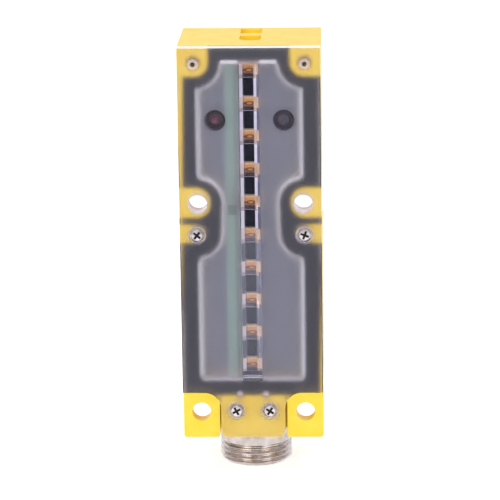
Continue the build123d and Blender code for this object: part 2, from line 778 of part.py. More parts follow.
with BuildPart() as connector_seal:
    with BuildSketch(Plane.XY.offset(tongue_z)):
        with Locations((0, connector_y)):
            Circle(seal_outer_radius)
            Circle(seal_inner_radius, mode=Mode.SUBTRACT)
    extrude(amount=seal_thickness)
connector_seal.part.label = "connector_seal"
export_step(connector_seal.part, "parts/connector_seal.step")

# Leads from the contacts up to the header
header_low_z = foot_z + header_z - header_height / 2
header_middle_y = board_back_y + header_depth / 2
contacts = []
for i in range(contact_count):
    turn = math.radians(90 + 360 / contact_count * i)
    contacts.append((contact_circle / 2 * math.cos(turn),
                     connector_y + contact_circle / 2 * math.sin(turn)))
contacts.sort()
with BuildPart() as lead_wires:
    for i, (x, y) in enumerate(contacts):
        end_x = header_pitch * (i - (contact_count - 1) / 2)
        with BuildLine() as route:
            Polyline((x, y, contact_end_z), (x, y, contact_end_z + lead_straight),
                     (end_x, header_middle_y, header_low_z - lead_straight),
                     (end_x, header_middle_y, header_low_z))
        with BuildSketch(Plane.XY.offset(contact_end_z)):
            with Locations((x, y)):
                RegularPolygon(lead_wire_diameter / 2, lead_wire_sides)
        sweep(path=route.line, transition=Transition.RIGHT)
lead_wires.part.label = "lead_wires"
export_step(lead_wires.part, "parts/lead_wires.step")

# Cover screws, pan heads with a cross recess
screw_places = [(-side_screw_x, side_screw_z), (side_screw_x, side_screw_z),
                (-foot_screw_x, foot_screw_level), (foot_screw_x, foot_screw_level)]
seat_y = cover_y + counterbore_depth
with BuildPart() as cover_screws:
    with BuildSketch(facing(seat_y)):
        with Locations(*screw_places):
            Circle(screw_head_diameter / 2)
    extrude(amount=screw_head_height)
    chamfer(cover_screws.edges().group_by(Axis.Y)[0], screw_head_edge)
    with BuildSketch(facing(seat_y)):
        with Locations(*screw_places):
            Circle(screw_shank_diameter / 2)
    extrude(amount=-screw_length)
    with BuildSketch(facing(seat_y - screw_head_height)):
        for (x, z), angle in zip(screw_places, recess_angles):
            with Locations(Location((x, z, 0), (0, 0, angle))):
                Rectangle(recess_span, recess_width)
                Rectangle(recess_width, recess_span)
    extrude(amount=-recess_depth, mode=Mode.SUBTRACT)
cover_screws.part.label = "cover_screws"
export_step(cover_screws.part, "parts/cover_screws.step")
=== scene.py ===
"""Looks for the multi-beam light curtain: materials for every moulded, turned
and cast piece, the connector's thread, the studio and the camera.
Lengths are metres in the frame of the CAD model: X across, Z up, beams to -Y.
Places and sizes on the part are named in mm, and MM turns them into metres."""
import json
import math

import bpy
import numpy as np
from mathutils import Matrix, Vector


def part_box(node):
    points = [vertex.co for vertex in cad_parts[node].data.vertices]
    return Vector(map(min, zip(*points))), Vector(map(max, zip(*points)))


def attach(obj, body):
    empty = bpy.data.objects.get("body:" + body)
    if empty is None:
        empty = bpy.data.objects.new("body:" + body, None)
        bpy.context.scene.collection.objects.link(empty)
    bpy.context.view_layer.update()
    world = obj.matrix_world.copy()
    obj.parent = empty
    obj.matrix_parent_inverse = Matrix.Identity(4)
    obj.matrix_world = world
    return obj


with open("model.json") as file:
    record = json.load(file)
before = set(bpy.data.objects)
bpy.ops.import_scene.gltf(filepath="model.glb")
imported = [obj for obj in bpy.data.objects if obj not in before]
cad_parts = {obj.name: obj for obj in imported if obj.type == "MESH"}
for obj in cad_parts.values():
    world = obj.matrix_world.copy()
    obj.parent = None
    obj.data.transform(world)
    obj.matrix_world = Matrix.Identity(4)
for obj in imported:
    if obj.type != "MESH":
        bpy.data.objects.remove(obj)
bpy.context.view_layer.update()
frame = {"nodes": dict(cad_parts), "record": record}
MM = 0.001


def reach(node, axis):
    """A CAD node's lowest and highest place along x, y or z, in mm."""
    column = "xyz".index(axis)
    return [round(corner[column] / MM, 3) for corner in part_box(node)]


# Places that follow from the frame, in mm
COVER_FACE = reach("front_cover", "y")[0]
COVER_TOP = reach("front_cover", "z")[1]
FLANGE_FACE = reach("rear_housing", "y")[0]         # also the back of the cover's plate
STRIP_FRONT, STRIP_BACK = reach("lens_strip", "y")
STRIP_HALF = reach("lens_strip", "x")[1]            # half the strip's width
STRIP_FOOT, STRIP_TOP = reach("lens_strip", "z")
ELEMENT_FOOT, ELEMENT_TOP = reach("beam_element_01", "z")
FIRST_BEAM = (ELEMENT_TOP + ELEMENT_FOOT) / 2
ELEMENT_HALF = (ELEMENT_TOP - ELEMENT_FOOT) / 2     # half the height of an element
BEAM_PITCH = ELEMENT_TOP - reach("beam_element_02", "z")[1]
CLEAR_ROW_END = reach("beam_element_06", "z")[1]    # below this the row looks hazy
SHELL_Y = sum(reach("connector_shell", "y")) / 2    # axis of the connector
THREAD_END = reach("connector_shell", "z")[0]

# Sizes and places (across, up) that no box of a node gives, in mm
PAD_BACK = FLANGE_FACE + 1.4            # the cover's sealing pad is 1.4 thick
PAD_HALF = 15.6                         # half the pad's width
PAD_TOP = 76.5
PAD_FOOT = -21.9                        # just above the bevel along the pad's foot
PIN = (16.6, 75.9)                      # the cover's hollow corner pins
PIN_BORE = 0.7
PEG = (3.9, -27.7)                      # pegs under the pad
HOLE = (15.875, 33.0)                   # upper mounting holes
HOLE_RADIUS = 2.9
WINDOW = (10.3, 58.9)                   # polished windows over the indicators
WINDOW_RADIUS = 3.25
SIDE_SCREW = (16.2, 23.4)
FOOT_SCREW = (5.1, -31.9)
SCREW_POCKET = 2.8                      # radius of the pocket round a screw head
THREAD_ROOT = 10.15
THREAD_CREST = 11.1
THREAD_PITCH = 1.5875                   # sixteen turns to the inch
THREAD_LENGTH = 6.6
THREAD_LEAD = 0.7                       # chamfer at the free end

# Stretches from front to back, each (low, high, half the soft edge) in mm
FRONT = (COVER_FACE - 1, COVER_FACE + 0.1, 0.05)                # the cover's front alone
UNDER = (COVER_FACE + 0.1, 0.0, 0.05)                           # bores behind that front
PAD_SIDES = (FLANGE_FACE + 0.06, PAD_BACK - 0.1, 0.05)
BEHIND = (FLANGE_FACE + 0.1, 1.0, 0.08)                         # pins and pegs
CROSS_RECESS = (COVER_FACE + 0.16, COVER_FACE + 0.95, 0.03)
ANY_DEPTH = (-50.0, 50.0, 0.1)

DISC = -1.0                             # inner limit of a ring that has no hole
WAVE_PERIOD = 0.314                     # bands of a wave texture repeat after this / scale


# Materials

def paint(code):
    """sRGB hex to linear: c/12.92 below 0.04045, else ((c+0.055)/1.055)^2.4."""
    parts = [int(code[i:i + 2], 16) / 255 for i in (1, 3, 5)]
    return tuple(c / 12.92 if c <= 0.04045 else ((c + 0.055) / 1.055) ** 2.4
                 for c in parts) + (1.0,)


def add(tree, kind, inputs=(), stops=(), **settings):
    """Adds one shader node. settings are its properties; inputs are its sockets by
    name or number, each a plain value or another node's socket, which is linked;
    stops are a colour ramp's (position, hex colour)."""
    node = tree.nodes.new(kind)
    for name, value in settings.items():
        setattr(node, name, value)
    for key, value in (inputs.items() if isinstance(inputs, dict) else enumerate(inputs)):
        if isinstance(value, bpy.types.NodeSocket):
            tree.links.new(value, node.inputs[key])
        else:
            node.inputs[key].default_value = value
    for i, (at, code) in enumerate(stops):
        band = node.color_ramp.elements
        stop = band[i] if i < len(band) else band.new(1.0)
        stop.position = at
        stop.color = paint(code)
    return node


def start(name):
    """A new material with an empty tree; returns it, its tree and the object
    coordinates."""
    material = bpy.data.materials.new(name)
    material.use_nodes = True
    tree = material.node_tree
    tree.nodes.clear()
    return material, tree, add(tree, "ShaderNodeTexCoord").outputs["Object"]


def end(tree, shader):
    """Makes the shader the surface of the tree's material."""
    add(tree, "ShaderNodeOutputMaterial", {"Surface": shader})


def mirror(tree, place):
    """The place with x taken positive, on which a mark made at the right shows at
    the left too."""
    split = add(tree, "ShaderNodeSeparateXYZ", [place]).outputs
    across = add(tree, "ShaderNodeMath", [split[0]], operation="ABSOLUTE").outputs[0]
    return add(tree, "ShaderNodeCombineXYZ", [across, split[1], split[2]]).outputs[0]


def by_pitch(tree, place):
    """The place with its height counted from the middle of the nearest beam
    element, so that a pattern repeats with the pitch."""
    dropped = add(tree, "ShaderNodeMapping",
                  {"Vector": place, "Location": (0.0, 0.0, -FIRST_BEAM * MM)})
    return add(tree, "ShaderNodeVectorMath",
               [dropped.outputs[0], (1.0, 1.0, BEAM_PITCH / 2 * MM),
                (-1.0, -1.0, -BEAM_PITCH / 2 * MM)], operation="WRAP").outputs[0]


def span(tree, value, low, high, soft):
    """1 while value, in metres, lies between low and high, in mm: a smooth step
    up times a smooth step down, each 2 soft wide."""
    steps = [add(tree, "ShaderNodeMapRange",
                 {"Value": value, "From Min": (edge - soft) * MM,
                  "From Max": (edge + soft) * MM, "To Min": first, "To Max": 1.0 - first},
                 interpolation_type="SMOOTHSTEP").outputs[0]
             for edge, first in ((low, 0.0), (high, 1.0))]
    return add(tree, "ShaderNodeMath", steps, operation="MULTIPLY").outputs[0]


def zone(tree, place, **spans):
    """1 inside a box: the product of a span per named axis, each (low, high, soft)."""
    split = add(tree, "ShaderNodeSeparateXYZ", [place])
    mask = None
    for axis, (low, high, soft) in spans.items():
        inside = span(tree, split.outputs["xyz".index(axis)], low, high, soft)
        mask = inside if mask is None else add(tree, "ShaderNodeMath", [mask, inside],
                                               operation="MULTIPLY").outputs[0]
    return mask


def spot(tree, place, at, low, high, soft, y):
    """1 in a ring round a line that runs front to back: the distance from (x, z)
    to the point at lies between low and high, and y within its own span."""
    flat = add(tree, "ShaderNodeVectorMath", [place, (1.0, 0.0, 1.0)], operation="MULTIPLY")
    off = add(tree, "ShaderNodeVectorMath", [flat.outputs[0], (at[0] * MM, 0.0, at[1] * MM)],
              operation="DISTANCE")
    return add(tree, "ShaderNodeMath",
               [span(tree, off.outputs["Value"], low, high, soft), zone(tree, place, y=y)],
               operation="MULTIPLY").outputs[0]


def moulded(name, dark, light, rough, grain_mm, bump, marks=(), gloss=0.5):
    """Injection-moulded plastic or rubber: a slow cloud between two close colours,
    as flow in the mould gives, and a fine spark-eroded grain in the bump and the
    roughness, drawn coarser than the real one so that it shows. marks are (hex, at,
    radius) round patches of another colour on both sides, and gloss is the strength
    of the plain reflection."""
    cloud_mm, grain_depth, patch_edge = 6.0, 0.05, 0.02
    material, tree, place = start(name)
    cloud = add(tree, "ShaderNodeTexNoise",
                {"Vector": place, "Scale": 1 / (cloud_mm * MM), "Detail": 3.0,
                 "Roughness": 0.55})
    colour = add(tree, "ShaderNodeValToRGB", [cloud.outputs["Fac"]],
                 [(0.35, dark), (0.65, light)]).outputs[0]
    for code, at, radius in marks:
        patch = spot(tree, mirror(tree, place), at, DISC, radius, patch_edge, ANY_DEPTH)
        colour = add(tree, "ShaderNodeMix", {0: patch, 6: colour, 7: paint(code)},
                     data_type="RGBA").outputs[2]
    grain = add(tree, "ShaderNodeTexNoise",
                {"Vector": place, "Scale": 1 / (grain_mm * MM), "Detail": 2.0})
    roughness = add(tree, "ShaderNodeMapRange",
                    {"Value": grain.outputs["Fac"], "From Min": 0.3, "From Max": 0.7,
                     "To Min": rough - 0.05, "To Max": rough + 0.06})
    relief = add(tree, "ShaderNodeBump", {"Height": grain.outputs["Fac"], "Strength": bump,
                                          "Distance": grain_depth * MM})
    body = add(tree, "ShaderNodeBsdfPrincipled",
               {"Base Color": colour, "Roughness": roughness.outputs[0], "IOR": 1.5,
                "Specular IOR Level": gloss, "Normal": relief.outputs[0]})
    end(tree, body.outputs[0])
    return material


def screw_heads(tree, place, colour):
    """The colour with a dark patch of painted shade over each cross recess, and a bump
    that rounds the heads: it falls with the square of the distance to the nearest screw."""
    recess_reach, roundness = 1.6, -60.0
    mirrored = mirror(tree, place)
    flat = add(tree, "ShaderNodeVectorMath", [mirrored, (1.0, 0.0, 1.0)],
               operation="MULTIPLY")
    offs = []
    for screw in (SIDE_SCREW, FOOT_SCREW):
        # painted shade: a dark round patch over the cross recess
        recess = spot(tree, mirrored, screw, DISC, recess_reach, 0.05, CROSS_RECESS)
        colour = add(tree, "ShaderNodeMix", {0: recess, 6: colour, 7: paint("#3A302C")},
                     data_type="RGBA").outputs[2]
        centre = (screw[0] * MM, 0.0, screw[1] * MM)
        offs.append(add(tree, "ShaderNodeVectorMath", [flat.outputs[0], centre],
                        operation="DISTANCE").outputs["Value"])
    nearest = add(tree, "ShaderNodeMath", offs, operation="MINIMUM").outputs[0]
    square = add(tree, "ShaderNodeMath", [nearest, 2.0], operation="POWER").outputs[0]
    fall = add(tree, "ShaderNodeMath", [square, roundness], operation="MULTIPLY").outputs[0]
    return colour, add(tree, "ShaderNodeBump", {"Height": fall, "Distance": 1.0}).outputs[0]


def plated(name, dark, light, rough, ring_mm, bump, screws=False):
    """Turned, drawn or headed metal: rings along the upright axis from the tool,
    drawn coarser than the real ones so that they show, and a slow cloud in the
    colour and the roughness where the plating is thinner. Screws also get round
    heads with painted shade in their cross recesses."""
    cloud_mm, ring_depth = 2.5, 0.02
    material, tree, place = start(name)
    cloud = add(tree, "ShaderNodeTexNoise",
                {"Vector": place, "Scale": 1 / (cloud_mm * MM), "Detail": 4.0})
    colour = add(tree, "ShaderNodeValToRGB", [cloud.outputs["Fac"]],
                 [(0.3, dark), (0.7, light)]).outputs[0]
    rings = add(tree, "ShaderNodeTexWave",
                {"Vector": place, "Scale": WAVE_PERIOD / (ring_mm * MM), "Distortion": 0.6,
                 "Detail": 2.0}, wave_type="BANDS", bands_direction="Z")
    relief = add(tree, "ShaderNodeBump", {"Height": rings.outputs["Fac"], "Strength": bump,
                                          "Distance": ring_depth * MM})
    if screws:
        colour, dome = screw_heads(tree, place, colour)
        tree.links.new(dome, relief.inputs["Normal"])
    roughness = add(tree, "ShaderNodeMapRange",
                    {"Value": cloud.outputs["Fac"], "To Min": rough - 0.06,
                     "To Max": rough + 0.08})
    body = add(tree, "ShaderNodeBsdfPrincipled",
               {"Base Color": colour, "Metallic": 1.0, "Roughness": roughness.outputs[0],
                "Normal": relief.outputs[0]})
    end(tree, body.outputs[0])
    return material


def clear(tree, rough, layers, joint, relief, colour):
    """Clear plastic with the refraction of polycarbonate and a subdued reflection.
    layers are (mask, share, hex): where a mask holds, that share of the surface
    scatters light in that colour, as haze or as painted light and shade, such as a
    bright edge or a dark bore, and the rest refracts; later layers cover earlier
    ones. joint masks a face that lies on
    another clear piece, where nothing shows. Shadow and diffuse rays go straight
    through, so that light reaches what is inside."""
    share, tint = 0.0, paint("#FFFFFF")
    for mask, part, code in layers:
        share = add(tree, "ShaderNodeMix", {0: mask, 2: share, 3: part}).outputs[0]
        tint = add(tree, "ShaderNodeMix", {0: mask, 6: tint, 7: paint(code)},
                   data_type="RGBA").outputs[2]
    glass = add(tree, "ShaderNodeBsdfPrincipled",
                {"Base Color": paint(colour), "Transmission Weight": 1.0, "IOR": 1.58,
                 "Roughness": rough, "Normal": relief, "Specular Tint": paint("#606068")})
    haze = add(tree, "ShaderNodeBsdfDiffuse", {"Color": tint, "Normal": relief})
    face = add(tree, "ShaderNodeMixShader", [share, glass.outputs[0], haze.outputs[0]])
    rays = add(tree, "ShaderNodeLightPath").outputs
    passing = joint
    for kind in ("Is Shadow Ray", "Is Diffuse Ray"):
        passing = add(tree, "ShaderNodeMath", [passing, rays[kind]],
                      operation="MAXIMUM").outputs[0]
    through = add(tree, "ShaderNodeBsdfTransparent", {"Color": paint("#F6F6FA")})
    end(tree, add(tree, "ShaderNodeMixShader",
                  [passing, face.outputs[0], through.outputs[0]]).outputs[0])


def cover_face_painted_light(tree, place, mirrored):
    """Painted light on the cover's front, where something pale or dark close behind
    would show through the matt face: painted highlights along the top and the
    straight sides of the sealing pad, painted glows over the pegs and round the
    bores of the corner pins, and a darker square of painted shade over the small chip."""
    pad_top = zone(tree, mirrored, x=(STRIP_HALF + 0.3, 8.3, 0.4), y=FRONT,
                   z=(PAD_TOP - 0.35, PAD_TOP + 0.75, 0.35))
    over_peg = (PEG[0] + 0.04, PEG[1] + 1.5)
    pegs = spot(tree, mirrored, over_peg, DISC, 0.75, 0.6, FRONT)
    chip_left, chip_right = reach("window_chip", "x")
    chip_foot, chip_top = reach("window_chip", "z")
    chip = zone(tree, place, x=(chip_left - 0.15, chip_right + 0.3, 0.08), y=FRONT,
                z=(chip_foot - 0.15, chip_top - 0.1, 0.08))
    pins = spot(tree, mirrored, PIN, PIN_BORE + 0.04, 1.6, 0.25, FRONT)
    # painted highlight on the pad's top, painted glows over pegs and pins, painted shade over
    # the chip
    layers = [(pad_top, 0.48, "#F4F0FA"), (pegs, 0.34, "#EDE6F2"), (chip, 0.22, "#98AAB0"),
              (pins, 0.45, "#F2E8E6")]
    # painted highlights along the pad's straight sides
    for straight in ((41.7, 68.6, 1.0), (-20.6, 15.2, 1.0)):
        side = zone(tree, mirrored, x=(PAD_HALF - 0.4, PAD_HALF + 0.55, 0.5), y=FRONT,
                    z=straight)
        layers.append((side, 0.27, "#ECEEFF"))
    return layers


def cover_edges_painted_light(tree, place, mirrored):
    """Painted light and shade behind the cover's front: the pad's edge carries a pale
    painted highlight, fainter along its foot, and painted shade where the lens strip
    ends on it; the corner pins and the pegs are painted pale as painted light, the
    pins' bores are painted dark brown as painted shade, the bores for mounting and
    for screws are painted pale as painted light, and the cover's top edge is painted
    white as a painted highlight."""
    beside = (STRIP_HALF + 0.12, 30.0, 0.03)
    across = (-1.0, STRIP_HALF + 0.12, 0.03)
    foot = (-30.0, PAD_FOOT, 0.05)
    # painted highlights on the pad's sides, painted shade where the strip ends, painted light
    # on pins and pegs, painted shade in the pins' bores, painted light in the mounting bores
    # and a painted highlight on the top edge
    layers = [(zone(tree, mirrored, x=beside, y=PAD_SIDES), 1.0, "#FFFDFF"),
              (zone(tree, mirrored, x=beside, y=PAD_SIDES, z=foot), 0.6, "#F4F0FA"),
              (zone(tree, mirrored, x=across, y=PAD_SIDES, z=foot), 0.85, "#34323C"),
              (spot(tree, mirrored, PIN, DISC, 1.7, 0.2, BEHIND), 0.85, "#F2E8E6"),
              (spot(tree, mirrored, PIN, DISC, PIN_BORE + 0.04, 0.02, UNDER), 1.0, "#6E5A48"),
              (spot(tree, mirrored, PEG, DISC, 1.1, 0.05, BEHIND), 0.8, "#EDE6F2"),
              (spot(tree, mirrored, HOLE, HOLE_RADIUS - 0.4, HOLE_RADIUS + 0.2, 0.05, UNDER),
               0.8, "#F4F0FA"),
              (zone(tree, place, z=(COVER_TOP - 0.1, COVER_TOP + 1.1, 0.03)), 0.9, "#FFFFFF")]
    # painted light: the screw pockets are painted pale, lifting their shade
    for screw in (SIDE_SCREW, FOOT_SCREW):
        pocket = spot(tree, mirrored, screw, DISC, SCREW_POCKET + 0.05, 0.03, UNDER)
        layers.append((pocket, 0.35, "#DCD8EA"))
    return layers


def cover_polycarbonate():
    """Clear polycarbonate, injection moulded. The front is spark-eroded matt, which
    veils and blurs what lies behind; over the slot that shows the board it carries a
    pale green of painted light from the board; over the beam row and in two round
    windows it is polished, and the lower half of the row carries more haze. The
    layers added below also paint light and shade on the front and on the faces
    behind it. The grain is drawn coarser than the real one, so that it shows."""
    grain_mm, grain_depth = 0.35, 0.02
    material, tree, place = start("polycarbonate_clear_matt_face")
    mirrored = mirror(tree, place)
    face = zone(tree, place, y=FRONT)
    slot = zone(tree, place, x=(-7.4, -4.3, 1.0), y=FRONT, z=(-20.5, 76.5, 0.6))
    row = (-STRIP_HALF - 0.15, STRIP_HALF + 0.15, 0.12)
    row_upper = zone(tree, place, x=row, y=FRONT, z=(CLEAR_ROW_END, STRIP_TOP + 0.3, 0.15))
    row_lower = zone(tree, place, x=row, y=FRONT, z=(STRIP_FOOT - 0.26, CLEAR_ROW_END, 0.15))
    window = spot(tree, mirrored, WINDOW, DISC, WINDOW_RADIUS, 0.08, FRONT)
    rough = 0.03
    for mask, value in ((face, 0.74), (row_upper, 0.03), (row_lower, 0.05), (window, 0.20)):
        rough = add(tree, "ShaderNodeMix", {0: mask, 2: rough, 3: value}).outputs[0]
    grain = add(tree, "ShaderNodeTexNoise",
                {"Vector": place, "Scale": 1 / (grain_mm * MM), "Detail": 2.0})
    strength = add(tree, "ShaderNodeMath", [rough, 0.2], operation="MULTIPLY")
    relief = add(tree, "ShaderNodeBump",
                 {"Height": grain.outputs["Fac"], "Distance": grain_depth * MM,
                  "Strength": strength.outputs[0]})
    # painted light: the slot layer is a pale green veil standing in for light from the board
    layers = [(face, 0.068, "#D6D6EE"), (slot, 0.19, "#D0E6E8"),
              (row_upper, 0.014, "#A8B8E0"), (row_lower, 0.125, "#C8CCE4"),
              (window, 0.05, "#C8BCD4")]
    layers += cover_face_painted_light(tree, place, mirrored) + cover_edges_painted_light(tree, place, mirrored)
    joint = zone(tree, place, x=(-STRIP_HALF - 0.05, STRIP_HALF + 0.05, 0.01),
                 y=(STRIP_FRONT - 0.05, STRIP_FRONT + 0.05, 0.01))
    clear(tree, rough, layers, joint, relief.outputs[0], "#FFF6FC")
    return material


def strip_acrylic():
    """Clear acrylic, moulded and polished. Its long bevels carry painted reflections:
    bright lines in the upper half and dull grey ones in the lower, in the elements'
    own tone beside each element; a painted shade with a darker line runs along its
    right side, in the elements' tone beside each element; its foot is painted dark
    as painted shade, with two painted highlights across."""
    flow_mm, flow_depth, recess_height = 4.0, 0.05, 1.2
    material, tree, place = start("acrylic_polished")
    wrapped = by_pitch(tree, place)
    element = (-ELEMENT_HALF + recess_height, ELEMENT_HALF, 0.15)
    recess = (-ELEMENT_HALF, -ELEMENT_HALF + recess_height, 0.15)
    upper, lower = (CLEAR_ROW_END, 80.0, 0.2), (-25.0, CLEAR_ROW_END, 0.2)
    left, right = (-2.95, -1.95, 0.06), (1.3, 2.2, 0.06)
    layers = []
    # painted reflections on the bevels: bright above, dull grey below, the elements' tone
    # beside each element
    for across, tint, part in ((left, "#F4EAEA", 0.75), (right, "#F6CE9E", 0.6)):
        bevel = {"x": across, "y": (PAD_BACK + 0.05, STRIP_BACK + 0.05, 0.05)}
        layers += [(zone(tree, place, z=upper, **bevel), 0.95, "#F2EFF8"),
                   (zone(tree, place, z=lower, **bevel), 0.85, "#626672"),
                   (zone(tree, wrapped, z=element, **bevel), part, tint),
                   (zone(tree, wrapped, z=recess, **bevel), 0.6 * part, tint)]
    # painted shade along the right side, with a darker line and the elements' tone beside each
    # element
    shade, dark_line, amber_line = (2.2, 3.1, 0.04), (2.2, 2.5, 0.05), (2.2, 2.8, 0.05)
    deep = (STRIP_FRONT + 0.1, STRIP_BACK + 0.05, 0.05)
    layers += [(zone(tree, place, x=shade, y=deep), 0.92, "#7E8494"),
               (zone(tree, place, x=dark_line, y=deep), 0.92, "#484C58"),
               (zone(tree, wrapped, x=amber_line, y=deep, z=element), 0.9, "#E8C49C")]
    whole = (STRIP_FRONT, STRIP_BACK + 0.1, 0.05)
    # painted shade over the strip's foot
    dark_foot = zone(tree, place, y=whole, z=(STRIP_FOOT - 0.1, STRIP_FOOT + 2.1, 0.15))
    layers.append((dark_foot, 0.85, "#24222C"))
    # two painted highlights across the foot
    for low, high in ((-0.05, 0.15), (0.44, 0.64)):
        line = zone(tree, place, y=whole, z=(STRIP_FOOT + low, STRIP_FOOT + high, 0.03))
        layers.append((line, 0.8, "#F4F0FA"))
    flow = add(tree, "ShaderNodeTexNoise", {"Vector": place, "Scale": 1 / (flow_mm * MM)})
    relief = add(tree, "ShaderNodeBump", {"Height": flow.outputs["Fac"], "Strength": 0.04,
                                          "Distance": flow_depth * MM})
    joint = zone(tree, place, y=(STRIP_FRONT - 0.05, STRIP_FRONT + 0.02, 0.01))
    clear(tree, 0.02, layers, joint, relief.outputs[0], "#FFFFFF")
    return material


def element_resin():
    """Amber epoxy, cast: the sloped roof is painted pale, a painted highlight where it
    faces the light, a brown ring marks the edge of the oval lens, the recess under it
    is painted dark as painted shade and the foot lip is painted pale as a painted
    highlight, with fine flecks all over. The pattern repeats with the beam pitch."""
    fleck_mm, squash = 0.5, 0.45
    material, tree, place = start("epoxy_amber_cast")
    wrapped = by_pitch(tree, place)
    height = add(tree, "ShaderNodeSeparateXYZ", [wrapped]).outputs[2]
    level = add(tree, "ShaderNodeMapRange", {"Value": height, "From Min": -ELEMENT_HALF * MM,
                                             "From Max": ELEMENT_HALF * MM}).outputs[0]
    # painted light by height: a pale foot lip, painted shade in the recess, then lighter up to
    # the pale roof
    colour = add(tree, "ShaderNodeValToRGB", [level],
                 [(0.0, "#B9AEB4"), (0.03, "#B0A6AC"), (0.05, "#2A1E22"), (0.25, "#38262A"),
                  (0.33, "#A06A38"), (0.62, "#DDA55C"), (0.84, "#F4C684"),
                  (1.0, "#FBE6C0")]).outputs[0]
    oval = add(tree, "ShaderNodeVectorMath", [wrapped, (squash, 1.0, 1.0)],
               operation="MULTIPLY")
    ring = spot(tree, oval.outputs[0], (0.0, 0.1), 0.38, 0.72, 0.08, ANY_DEPTH)
    ringed = add(tree, "ShaderNodeMix", {0: ring, 6: colour, 7: paint("#7A4420")},
                 data_type="RGBA").outputs[2]
    flecks = add(tree, "ShaderNodeTexNoise",
                 {"Vector": place, "Scale": 1 / (fleck_mm * MM), "Detail": 3.0})
    shade = add(tree, "ShaderNodeValToRGB", [flecks.outputs["Fac"]],
                [(0.3, "#C9B7AA"), (0.7, "#FFFFFF")]).outputs[0]
    tone = add(tree, "ShaderNodeMix", {0: 0.35, 6: ringed, 7: shade},
               data_type="RGBA", blend_type="MULTIPLY").outputs[2]
    body = add(tree, "ShaderNodeBsdfPrincipled",
               {"Base Color": tone, "Roughness": 0.22, "IOR": 1.54, "Coat Weight": 0.4,
                "Coat Roughness": 0.08})
    end(tree, body.outputs[0])
    return material


def board_laminate():
    """Glass-fibre board under green solder mask: copper tracks at half the usual
    pin pitch show as slightly lighter lines, the weave as a faint grain."""
    track_mm, track_length, track_rows, weave_mm, weave_depth = 0.12, 7.0, 1.27, 0.4, 0.03
    material, tree, place = start("solder_mask_green_board")
    turned = add(tree, "ShaderNodeMapping",
                 {"Vector": place, "Rotation": (math.radians(90), 0.0, 0.0)})
    tracks = add(tree, "ShaderNodeTexBrick",
                 {"Vector": turned.outputs[0], "Color1": paint("#A2DCBC"),
                  "Color2": paint("#92CCAC"), "Mortar": paint("#B8E6CA"), "Scale": 1.0,
                  "Mortar Size": track_mm * MM, "Brick Width": track_length * MM,
                  "Row Height": track_rows * MM})
    weave = add(tree, "ShaderNodeTexNoise", {"Vector": place, "Scale": 1 / (weave_mm * MM)})
    relief = add(tree, "ShaderNodeBump", {"Height": weave.outputs["Fac"], "Strength": 0.2,
                                          "Distance": weave_depth * MM})
    body = add(tree, "ShaderNodeBsdfPrincipled",
               {"Base Color": tracks.outputs["Color"], "Roughness": 0.35, "IOR": 1.5,
                "Normal": relief.outputs[0]})
    end(tree, body.outputs[0])
    return material


def red_lamp():
    """Tinted epoxy lamp, cast: dark red with a faint cloud, a brighter red spot of
    painted light low and to the left where it catches light, and a thin glossy coat."""
    cloud_mm, glow_at, glow_radius = 0.8, (-11.1, 57.2), 0.85
    material, tree, place = start("epoxy_red_tinted")
    cloud = add(tree, "ShaderNodeTexNoise", {"Vector": place, "Scale": 1 / (cloud_mm * MM)})
    colour = add(tree, "ShaderNodeValToRGB", [cloud.outputs["Fac"]],
                 [(0.3, "#3E2630"), (0.7, "#4E2C3A")]).outputs[0]
    # painted light: a brighter red spot where the lamp catches light
    glow = spot(tree, place, glow_at, DISC, glow_radius, 0.6, ANY_DEPTH)
    tinted = add(tree, "ShaderNodeMix", {0: glow, 6: colour, 7: paint("#8A4660")},
                 data_type="RGBA").outputs[2]
    body = add(tree, "ShaderNodeBsdfPrincipled",
               {"Base Color": tinted, "Roughness": 0.35, "IOR": 1.54, "Coat Weight": 0.1})
    end(tree, body.outputs[0])
    return material


